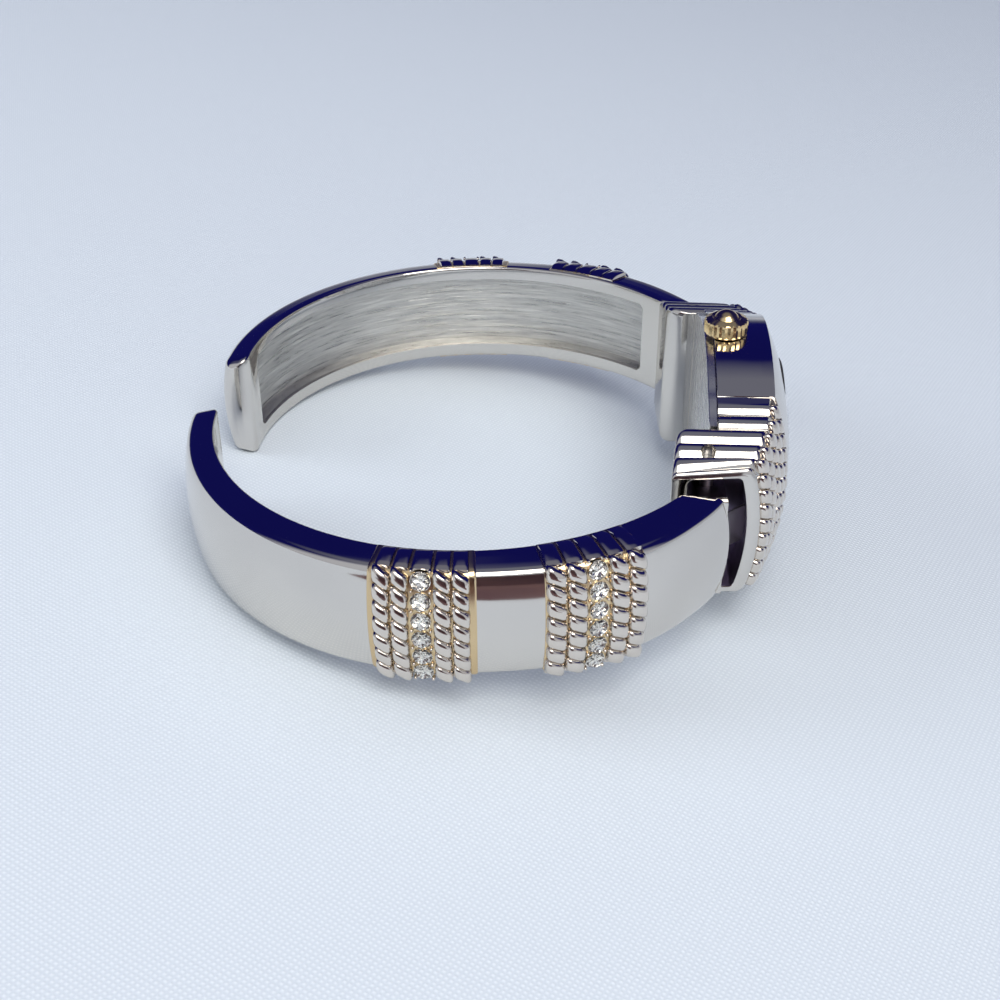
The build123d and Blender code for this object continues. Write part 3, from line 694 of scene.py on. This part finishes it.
def plateShape(label):
    own, stretch = station[label], stationTravels(label)[1]
    half = (station["stoneRow"] / 2 + 2 * own["ropeWidth"] + own["border"]) / stretch
    ends = (half, half - 0.06, half - 0.16)
    loops = []
    for shift in [-end for end in ends] + between(0.4 - half, half - 0.4, 13) + list(ends[::-1]):
        travel = own["travel"] + shift
        lift = station["plate"] * min(1, 0.35 + 0.65 * math.sqrt((half - abs(shift)) / 0.16))
        outer, inner = [[lifted(travel, *pair, height) for pair in wrapLine(travel)]
                        for height in (lift, -lift)]
        loops.append(outer + inner[::-1])
    return skin(loops)


# A half-round bar over one edge of the arm, from its inner rim to the first strand.
def barShape(travel, width, up):
    path = [pair for pair in wrapLine(travel) if pair[0][1] > station["barReach"]]
    steps, power = len(path) - 1, station["barPower"]
    loops = []
    for k, pair in enumerate(path):
        ends = min(k, steps - k) / steps * 5
        height = station["barHeight"] * math.sqrt(max(1 - max(1 - ends, 0) ** 2, 0.02))
        section = [(share, station["plate"] / 2 + height * (1 - abs(share) ** power) ** (1 / power))
                   for share in between(-1, 1, 13)] + [(1, -0.1), (-1, -0.1)]
        points = [lifted(travel + share * width / 2, *pair, lift) for share, lift in section]
        loops.append([Vector((p.x, p.y, p.z * up)) for p in points])
    return skin(loops)


def makeStation(label, side):
    body, place = side + "_arm", sidePlace(side, True)
    centre, width = station[label]["travel"], station[label]["ropeWidth"]
    travels, stretch = stationTravels(label)
    plate = makePiece(label + "Plate_" + side, plateShape(label), ["paleGold"], place)
    settle(plate, body, "two_tone_rope", label + "_station_" + side)
    bars = []
    for up in (1, -1):
        for travel in travels:
            bars.append(barShape(travel, station["barFill"] * width / stretch, up))
        bars.append(barShape(centre, station["barFill"] * station["stoneRow"] / stretch, up))
    settle(makePiece(label + "Bars_" + side, joined(bars), ["rope"], place), body, "two_tone_rope")
    turns = fan(station["strandCount"], station["strandPitch"] / crownRadius())
    strands = [crownPlace(travel, turn, station["plate"]) for travel in travels for turn in turns]
    step = stone["pitch"] / crownRadius()
    seats = [crownPlace(centre, turn, station["plate"] + stone["lift"]) for turn in fan(stone["count"], step)]
    reach = (station["stoneRow"] / 2 - stone["beadInset"]) / stretch
    beads = [crownPlace(centre + shift, turn, station["plate"])
             for turn in fan(stone["count"] + 1, step) for shift in (-reach, reach)]
    fill = station["strandFill"]
    strandSize = (width * fill, station["strandPitch"] * fill, station["strandHeight"])
    stoneSize = (stone["radius"], stone["radius"], stone["height"])
    beadSize = (2 * stone["bead"], 2 * stone["bead"], stone["beadHeight"])
    # Row, places, shape, size, finish, slot and replaced nodes, then unevenness and seed where it is uneven.
    rows = (("Ropes_", strands, unit[side + "Strand"], strandSize, "rope", "two_tone_rope", [], 0.03, 7),
            ("Stones_", seats, unit["stone"], stoneSize, "stone", "rhinestone", [label + "_stones_" + side]),
            ("Foils_", seats, unit["foil"], stoneSize, "foil", "rhinestone", []),
            ("Prongs_", beads, unit["bead"], beadSize, "rope", "two_tone_rope", [], 0.08, 3))
    for row, places, shape, size, coat, slotName, replaced, *chance in rows:
        piece = setRepeats(label + row + side, places, shape, size, coat, place, *chance)
        settle(piece, body, slotName, *replaced)


for side in sides:
    for label in ("front", "rear"):
        makeStation(label, side)
log("rope stations")


# The head: shoulders, case, rope trim, crown, crystal and dial.

def domeX(y, z, depth):
    ring = head["wristRadius"] - head["crownRadius"]
    ring += math.sqrt((head["crownRadius"] - depth) ** 2 - z * z)
    return head["apexX"] - head["wristRadius"] + math.sqrt(ring * ring - y * y)


# Half the outline of a block at one y, from the middle of its inner face to the dome, as (x, z).
def blockLine(innerX, depth, half, edge, y):
    frontX = domeX(y, half, depth)
    line = [(innerX, half * share) for share in (0, 0.25, 0.5, 0.7, 0.85)]
    line += roundCorner((innerX, 0), (innerX, half), (frontX, half), edge, 5)
    line += [(x, half) for x in between(innerX + 1.6 * edge, frontX - 1.6 * edge, 10)]
    line += roundCorner((innerX, half), (frontX, half), (domeX(y, half - 1, depth), half - 1), edge, 5)
    line += [(domeX(y, half * share, depth), half * share) for share in (0.85, 0.7, 0.5, 0.3, 0.15, 0)]
    return line


# Place and height of the ribbed block; along grows by 1 a rib, and by 1 more over the end border.
def shoulderSpot(x, along):
    ribs, border, startY = shoulder["ribs"], shoulder["border"], shoulder["startY"]
    pitch = (shoulder["endY"] - border - startY) / ribs
    lastStart = startY + (ribs - 1) * pitch
    endY = shoulder["endY"] - shoulder["lean"] * (x - shoulder["innerX"])
    room = max(endY - border - lastStart, 0.12)
    if along <= ribs - 1:
        y, crest = startY + along * pitch, 1
    elif along <= ribs:
        y, crest = lastStart + (along - ribs + 1) * room, min(1, 1.6 * room / pitch)
    else:
        y, crest = lastStart + room + (along - ribs) * (endY - lastStart - room), 0.45
    within = along - math.floor(min(along, ribs + 0.999))
    lift = crest * (1 - abs(2 * within - 1) ** 2.2)
    share = (y - startY) / (shoulder["endY"] - startY)
    half = shoulder["startHalf"] + (shoulder["endHalf"] - shoulder["startHalf"]) * share
    return y, half - shoulder["ribDepth"] * (1 - lift)


def shoulderLoop(along, shrink):
    corner = shoulder["corner"]
    step = min(max(along, 0) * 1.8, corner)
    innerX = shoulder["innerX"] + corner - math.sqrt(corner ** 2 - (corner - step) ** 2) + shrink
    y, half = shoulderSpot(shoulder["middleX"], along)
    innerX -= shoulder["innerSlope"] * (y - shoulder["startY"])
    half -= shrink
    line = blockLine(innerX, head["ropeDepth"] + shrink, half, shoulder["edge"], y)
    points = []
    for x, z in line:
        spotY, spotHalf = shoulderSpot(x, along)
        tall = z * (spotHalf - shrink) / half
        if x > shoulder["frontX"] and z < half - shoulder["edge"]:
            x = domeX(spotY, tall, head["ropeDepth"] + shrink)
        points.append(Vector((x, spotY, tall)))
    return mirroredLoop(points)


def mouthLoop(inset, grow):
    half, innerX = shoulder["mouthHalf"] + grow, shoulder["mouthX"] - grow
    depth, edge, y = shoulder["mouthDepth"] - grow, shoulder["mouthEdge"], shoulder["mouthY"]
    return mirroredLoop([Vector((x, shoulderSpot(x, shoulder["ribs"] + 1)[0] - inset, z))
                         for x, z in blockLine(innerX, depth, half, edge, y)])


def bake(piece):
    baked = evaluatedMesh(piece)
    piece.modifiers.clear()
    piece.data = baked


def makeShoulder(side):
    place, ribs = sidePlace(side, False), shoulder["ribs"]
    within = (0.0, 0.03, 0.08, 0.15, 0.25, 0.37, 0.5, 0.63, 0.75, 0.85, 0.92, 0.97)
    loops = [shoulderLoop(rib + share, 0) for rib in range(ribs) for share in within]
    loops += [shoulderLoop(ribs + share, 0) for share in (0.0, 0.12, 0.3, 0.5)]
    for turn in (20, 40, 60, 80):
        angle = math.radians(turn)
        shrink = shoulder["endRound"] * (1 - math.cos(angle))
        loops.append(shoulderLoop(ribs + 0.55 + 0.45 * math.sin(angle), shrink))
    outer = len(loops)
    loops += [mouthLoop(0, 0.12), mouthLoop(0.05, 0.03), mouthLoop(0.2, 0)]
    back = mouthLoop(0, 0)
    for point in back:
        point.y = shoulder["mouthBackY"]
    loops.append(back)
    shape = skin(loops)
    count = len(loops[0])
    # Faces inside the mouth, and the cap at its back, take the painted-shade colour.
    marks = [1 if index >= (outer + 1) * count else 0 for index in range(len(shape[1]))]
    marks[-2], marks[-1] = 0, 1
    piece = makePiece("ribbedShoulder_" + side, shape, ["silver", "hollowShade"], place, marks, sharp=50)
    hole = shoulder["pinHole"]
    ends = [[Vector((rim["pinX"] + hole * c, rim["pinY"] + hole * s, z)) for c, s in circle(32)]
            for z in (-9, 9)]
    drill = makePiece("pinDrill", skin(ends), ["silver"], place)
    cut = piece.modifiers.new("hole", "BOOLEAN")
    cut.operation, cut.solver, cut.object = "DIFFERENCE", "EXACT", drill
    bake(piece)
    piece.data.set_sharp_from_angle(angle=math.radians(38))
    bpy.data.objects.remove(drill)
    settle(piece, "head", "silver_plate", "shoulder_" + side)


def sideArc(radius, y):
    return head["halfWidth"] - radius + math.sqrt(radius ** 2 - y * y)


# The photograph's case narrows toward its ends more than the solid's arc does.
def caseEdge(y):
    if abs(y) > head["plainHalf"]:
        return head["plainEdge"] - (abs(y) - head["plainHalf"]) * head["endSlope"]
    return sideArc(head["panelRadius"], y)


def narrowEnds(work):
    for vert in work.verts:
        x, y, z = vert.co / mm
        arc = sideArc(head["barrelRadius"], y)
        if arc - abs(z) > head["drawnIn"]:
            continue
        tall = abs(z) + caseEdge(y) - arc
        # The first rib rises from the panel's own edge.
        past = abs(y) - head["plainHalf"]
        if -0.05 < past < head["firstRib"]:
            tall = max(tall, head["plainEdge"] - head["ribDrop"] - head["ribSlope"] * past)
        for depth in (0, head["ropeDepth"]):
            if abs(x - domeX(y, z, depth)) < 0.1:
                x = domeX(y, tall, depth)
                break
        vert.co = Vector((x, y, math.copysign(tall, z))) * mm


# Faces on the dome take its true normals, so that it mirrors as one surface.
def smoothDome(mesh):
    normals = [corner.vector.copy() for corner in mesh.corner_normals]
    for face in mesh.polygons:
        spots = [mesh.vertices[k].co / mm for k in face.vertices]
        if all(abs(x - domeX(y, z, 0)) < 0.02 for x, y, z in spots):
            for corner, (x, y, z) in zip(face.loop_indices, spots):
                swing = math.atan2(y, x - head["apexX"] + head["wristRadius"])
                normals[corner] = crownedPlace(Vector(), swing, 1, math.asin(z / head["crownRadius"]))[2]
    mesh.normals_split_custom_set(normals)


# A copy of a solid with the sharp edges between two x places rounded over.
def rounded(name, node, coat, width, startX, endX):
    mesh = nodes[node].data.copy()
    mesh.name = name
    work = bmesh.new()
    work.from_mesh(mesh)
    bmesh.ops.remove_doubles(work, verts=work.verts, dist=0.5e-6)
    bmesh.ops.dissolve_limit(work, angle_limit=math.radians(0.6), verts=work.verts, edges=work.edges)
    weight = work.edges.layers.float.new("bevel_weight_edge")
    for edge in work.edges:
        ends = [vert.co.x / mm for vert in edge.verts]
        sharp = edge.is_manifold and edge.calc_face_angle() > math.radians(28)
        across = abs(ends[0] - ends[1]) < 0.5 and startX < sum(ends) / 2 < endX
        atEnd = all(abs(abs(vert.co.y) / mm - head["plainHalf"]) < 0.01 for vert in edge.verts)
        edge[weight] = 1.0 if sharp and across and not atEnd else 0.0
    narrowEnds(work)
    work.to_mesh(mesh)
    work.free()
    mesh.materials.clear()
    mesh.materials.append(finish[coat])
    mesh.shade_smooth()
    piece = newObject(name, mesh)
    edges = piece.modifiers.new("edges", "BEVEL")
    edges.width, edges.segments, edges.limit_method = width * mm, 3, "WEIGHT"
    bake(piece)
    piece.data.set_sharp_from_angle(angle=math.radians(34))
    normals = piece.modifiers.new("normals", "WEIGHTED_NORMAL")
    normals.keep_sharp = True
    bake(piece)
    smoothDome(piece.data)
    settle(piece, "head", "silver_plate", node)


# Node, finish, width of the rounding, and the x places between which the edges are rounded.
softEdges = {"caseMiddle": ("case_middle", "silver", 0.16, 22.0, 23.4),
             "caseBack": ("case_back", "back", 0.12, 22.0, 23.4),
             "bezelRing": ("bezel", "silver", 0.26, 28.0, 32.0)}

for side in sides:
    makeShoulder(side)
for name, values in softEdges.items():
    rounded(name, *values)
log("shoulders and case")


# Rope trim on the front of the head, in rows across the bangle.

def headRows():
    rows = []
    casePitch = (head["halfLength"] - head["plainHalf"]) / head["ribs"]
    for i in range(head["ribs"]):
        y = head["plainHalf"] + (i + 0.5) * casePitch
        rows.append((y, caseEdge(y) - head["ribDepth"]))
    for i in range(shoulder["ribs"]):
        y, half = shoulderSpot(head["rowX"], i + 0.5)
        rows.append((y, half - shoulder["rowInset"]))
    return rows


def headPlace(y, angle):
    swing, reach = math.asin(y / head["wristRadius"]), head["wristRadius"] - head["crownRadius"]
    x = head["apexX"] - head["wristRadius"] + reach * math.cos(swing)
    centre = Vector((x, reach * math.sin(swing), 0))
    return crownedPlace(centre, swing, head["crownRadius"] - head["ropeDepth"], angle)


def makeHeadRopes(side):
    place, shape = sidePlace(side, False), unit[side + "Strand"]
    radius = head["crownRadius"] - head["ropeDepth"]
    places = []
    for y, half in headRows():
        reach = math.asin(half / radius)
        count = round(2 * reach * radius / head["strandPitch"])
        places += [headPlace(y, angle) for angle in fan(count, 2 * reach / count)]
    size = (head["strandWidth"], head["strandPitch"] * station["strandFill"], head["strandHeight"])
    ropes = setRepeats("headRopes_" + side, places, shape, size, "rope", place, 0.03, 11)
    settle(ropes, "head", "two_tone_rope", "front_ropes_" + side)


for side in sides:
    makeHeadRopes(side)
log("head ropes")


# A shallow dome between two x places, from the axis to its edge.
def domeProfile(apex, edgeX, radius, count):
    tall = apex - edgeX
    sphere = (radius ** 2 + tall ** 2) / (2 * tall)
    return [(apex - sphere + math.sqrt(sphere ** 2 - r ** 2), r) for r in between(0.002, radius, count)]


def turned(profile, steps):
    return [[Vector((x, r * c, r * s)) for c, s in circle(steps)] for x, r in profile]


def crownCorner(radius, height, kind, angle):
    if kind == "knurl":
        radius *= 1 - crown["knurlDepth"] * (0.5 + 0.5 * math.cos(crown["knurls"] * angle))
    elif kind == "facet":
        sector = 2 * math.pi / crown["facets"]
        radius *= math.cos(sector / 2) / math.cos(angle % sector - sector / 2)
    x, y = crown["stemX"] + radius * math.cos(angle), radius * math.sin(angle)
    return Vector((x, y, crown["base"] + height))


def makeCrown():
    dome = domeProfile(crown["domeTop"], crown["domeFoot"], crown["domeRadius"], 12)
    rings = crown["profile"] + tuple((r, height, "") for height, r in dome[::-1])
    angles = between(0, 2 * math.pi, crown["corners"] + 1)[:-1]
    loops = [[crownCorner(*ring, angle) for angle in angles] for ring in rings]
    piece = makePiece("knurledCrown", skin(loops), ["crownGold"], sharp=28)
    settle(piece, "crown_set", "gold_plate", "crown")


def makeCrystal():
    seat, edge, radius, bevel = crystal["seat"], crystal["edge"], crystal["radius"], crystal["bevel"]
    inside = domeProfile(crystal["innerApex"], seat, crystal["window"], 14)
    outside = domeProfile(crystal["apex"], edge, radius - bevel, 14)
    rimLine = [(seat, radius), (edge - bevel, radius), (edge - bevel / 4, radius - 0.03)]
    shape = skin(turned(inside + rimLine + outside[::-1], crystal["steps"]))
    settle(makePiece("domedCrystal", shape, ["glass"]), "head", "mineral_glass", "crystal")


def makeMinuteTrack():
    block = skin([[Vector((x, y, z)) for x, y in square(0.5)] for z in (0, 1)])
    block = unitShape("tickUnit", block, False)
    for name, size, minutes in (("minuteTicks", dialPrint["tick"], [m for m in range(60) if m % 5]),
                                ("fiveMinuteTicks", dialPrint["fiveTick"], range(0, 60, 5))):
        places = []
        for minute in minutes:
            c, s = circle(60)[minute]
            point = Vector((dialPrint["faceX"], dialPrint["track"] * c, dialPrint["track"] * s))
            places.append((point, Vector((0, -s, c)), Vector((1, 0, 0))))
        settle(setRepeats(name, places, block, size, "ink", Matrix.Identity(4)), "head", "dial_face")


makeCrown()
makeCrystal()
makeMinuteTrack()
log("crown, crystal and dial")


# Stage, light and camera.

def clothFloor():
    material, tree, shader = newMaterial("paleCloth", (0.70, 0.75, 0.81), 0, 0.85)
    place = addNode(tree, "ShaderNodeTexCoord").outputs["Object"]
    lay = addNode(tree, "ShaderNodeMapping", Vector=place, Rotation=(0, 0, 0.45)).outputs[0]
    waves = []
    for axis in ("X", "Y"):
        wave = addNode(tree, "ShaderNodeTexWave", Vector=lay, Scale=760.0, Distortion=0.6, Detail=1.0)
        wave.bands_direction = axis
        waves.append(wave.outputs["Fac"])
    weave = addMath(tree, "MULTIPLY", *waves)
    tintFrom(tree, shader, weave, (0.66, 0.72, 0.765), (0.775, 0.83, 0.865))
    bumpFrom(tree, shader, weave, 0.35, 0.0001)
    return material


# The watch leans on the case's lower edge and on its free ends, so the floor slopes under it.
floor = {"touchX": 23.1, "touchZ": -11.25, "slope": 0.1259, "half": 700}


def floorZ(x):
    return floor["touchZ"] - (x - floor["touchX"]) * floor["slope"]


def makeFloor():
    verts = [Vector((x, y, floorZ(x))) for x, y in square(floor["half"])]
    finish["cloth"] = clothFloor()
    piece = makePiece("stageFloor", (verts, [(0, 1, 2, 3)]), ["cloth"])
    if piece.data.polygons[0].normal.z < 0:
        piece.data.flip_normals()


# A dark plum card lies and stands just outside the photograph's frame, and shows only in the metal.
card = {"startX": -34, "endX": 52, "startY": -63, "endY": -98, "top": 30, "lift": 0.5}


def makeCard():
    material, tree, shader = newMaterial("plumCard", (0.10, 0.05, 0.06), 0, 0.9)
    tintFrom(tree, shader, objectNoise(tree, 40, 2), (0.05, 0.02, 0.045), (0.20, 0.10, 0.08))
    finish["plum"] = material
    verts = []
    for y, top in ((card["startY"], None), (card["endY"], None), (card["endY"] - 2, card["top"])):
        for x in (card["startX"], card["endX"]):
            verts.append(Vector((x, y, floorZ(x) + card["lift"] if top is None else top)))
    piece = makePiece("plumCard", (verts, [(0, 1, 3, 2), (2, 3, 5, 4)]), ["plum"])
    piece.visible_camera = piece.visible_shadow = piece.visible_diffuse = False


# What the metal mirrors: height bands from the horizon up, the camera's side, and a patch low behind it.
studio = {"bands": ((0.0, (0.50, 0.53, 0.60)), (0.05, (0.34, 0.36, 0.44)), (0.11, (0.12, 0.125, 0.20)),
                    (0.19, (0.007, 0.007, 0.115)), (0.80, (0.006, 0.006, 0.100)),
                    (0.93, (0.18, 0.188, 0.25))),
          "pale": (0.55, 0.57, 0.63), "paleFrom": -0.12, "paleTo": -0.42, "plum": (0.085, 0.030, 0.050),
          "patch": (("X", -0.03, 0.30), ("Z", 0.17, 0.21)), "patchEdge": 0.04, "backdrop": (0.60, 0.64, 0.70)}


def makeWorld():
    world = bpy.data.worlds.new("studio")
    bpy.context.scene.world = world
    world.use_nodes = True
    tree = world.node_tree
    split = tree.nodes.new("ShaderNodeSeparateXYZ")
    feed(tree, split.inputs[0], addNode(tree, "ShaderNodeTexCoord").outputs["Generated"])
    height = tree.nodes.new("ShaderNodeValToRGB")
    feed(tree, height.inputs[0], split.outputs["Z"])
    ramp = height.color_ramp
    while len(ramp.elements) < len(studio["bands"]):
        ramp.elements.new(0.5)
    for element, (spot, colour) in zip(ramp.elements, studio["bands"]):
        element.position = spot
        element.color = (*colour, 1)
    front = rise(tree, split.outputs["Y"], studio["paleFrom"], studio["paleTo"])
    sky = mixColours(tree, front, height.outputs["Color"], studio["pale"])
    behind = front
    for axis, middle, half in studio["patch"]:
        distance = addMath(tree, "ABSOLUTE", addMath(tree, "SUBTRACT", split.outputs[axis], middle))
        behind = addMath(tree, "MULTIPLY", behind, rise(tree, distance, half, half - studio["patchEdge"]))
    sky = mixColours(tree, behind, sky, studio["plum"])
    # Seen directly, the world is a plain pale backdrop.
    direct = addNode(tree, "ShaderNodeLightPath").outputs["Is Camera Ray"]
    feed(tree, tree.nodes["Background"].inputs["Color"], mixColours(tree, direct, sky, studio["backdrop"]))


# Place, target, size, power, colour, and whether the metal mirrors it; the fills only lift the shadows.
lamps = {"frontSoftbox": ((0.14, -0.30, 0.42), (0, 0, 0), 0.34, 1.75, (1, 0.97, 0.93), True),
         "sideFill": ((-0.40, -0.05, 0.25), (0, 0, 0), 0.22, 0.7, (0.90, 0.94, 1), False),
         "skyFill": ((0.10, 0.15, 0.90), (0.05, 0.05, 0), 1.2, 3.4, (0.92, 0.95, 1), False)}


def makeLamp(name, place, target, size, power, colour, mirrored):
    lamp = bpy.data.lights.new(name, "AREA")
    lamp.shape, lamp.size, lamp.energy, lamp.color = "SQUARE", size, power, colour
    holder = newObject(name, lamp)
    holder.location = place
    holder.rotation_euler = (Vector(target) - Vector(place)).to_track_quat("-Z", "Y").to_euler()
    holder.visible_glossy = mirrored


camera = {"place": (0.01142, -0.12579, 0.07099), "forward": (-0.0569, 0.8461, -0.5299),
          "right": (0.9977, 0.0671, 0), "roll": 0.4, "lens": 52.776, "shift": -0.002}


def makeCamera():
    lens = bpy.data.cameras.new("photoView")
    lens.lens, lens.sensor_width, lens.clip_start, lens.shift_y = camera["lens"], 36, 0.005, camera["shift"]
    holder = newObject("photoView", lens)
    forward, right = Vector(camera["forward"]).normalized(), Vector(camera["right"]).normalized()
    up = right.cross(forward)
    tilt = Matrix.Rotation(math.radians(camera["roll"]), 3, forward)
    turn = Matrix((tilt @ right, tilt @ up, -forward)).transposed()
    holder.matrix_world = Matrix.Translation(camera["place"]) @ turn.to_4x4()
    bpy.context.scene.camera = holder


makeFloor()
makeCard()
makeWorld()
for name, values in lamps.items():
    makeLamp(name, *values)
makeCamera()
bpy.context.scene.view_settings.view_transform = "Standard"
log("stage")
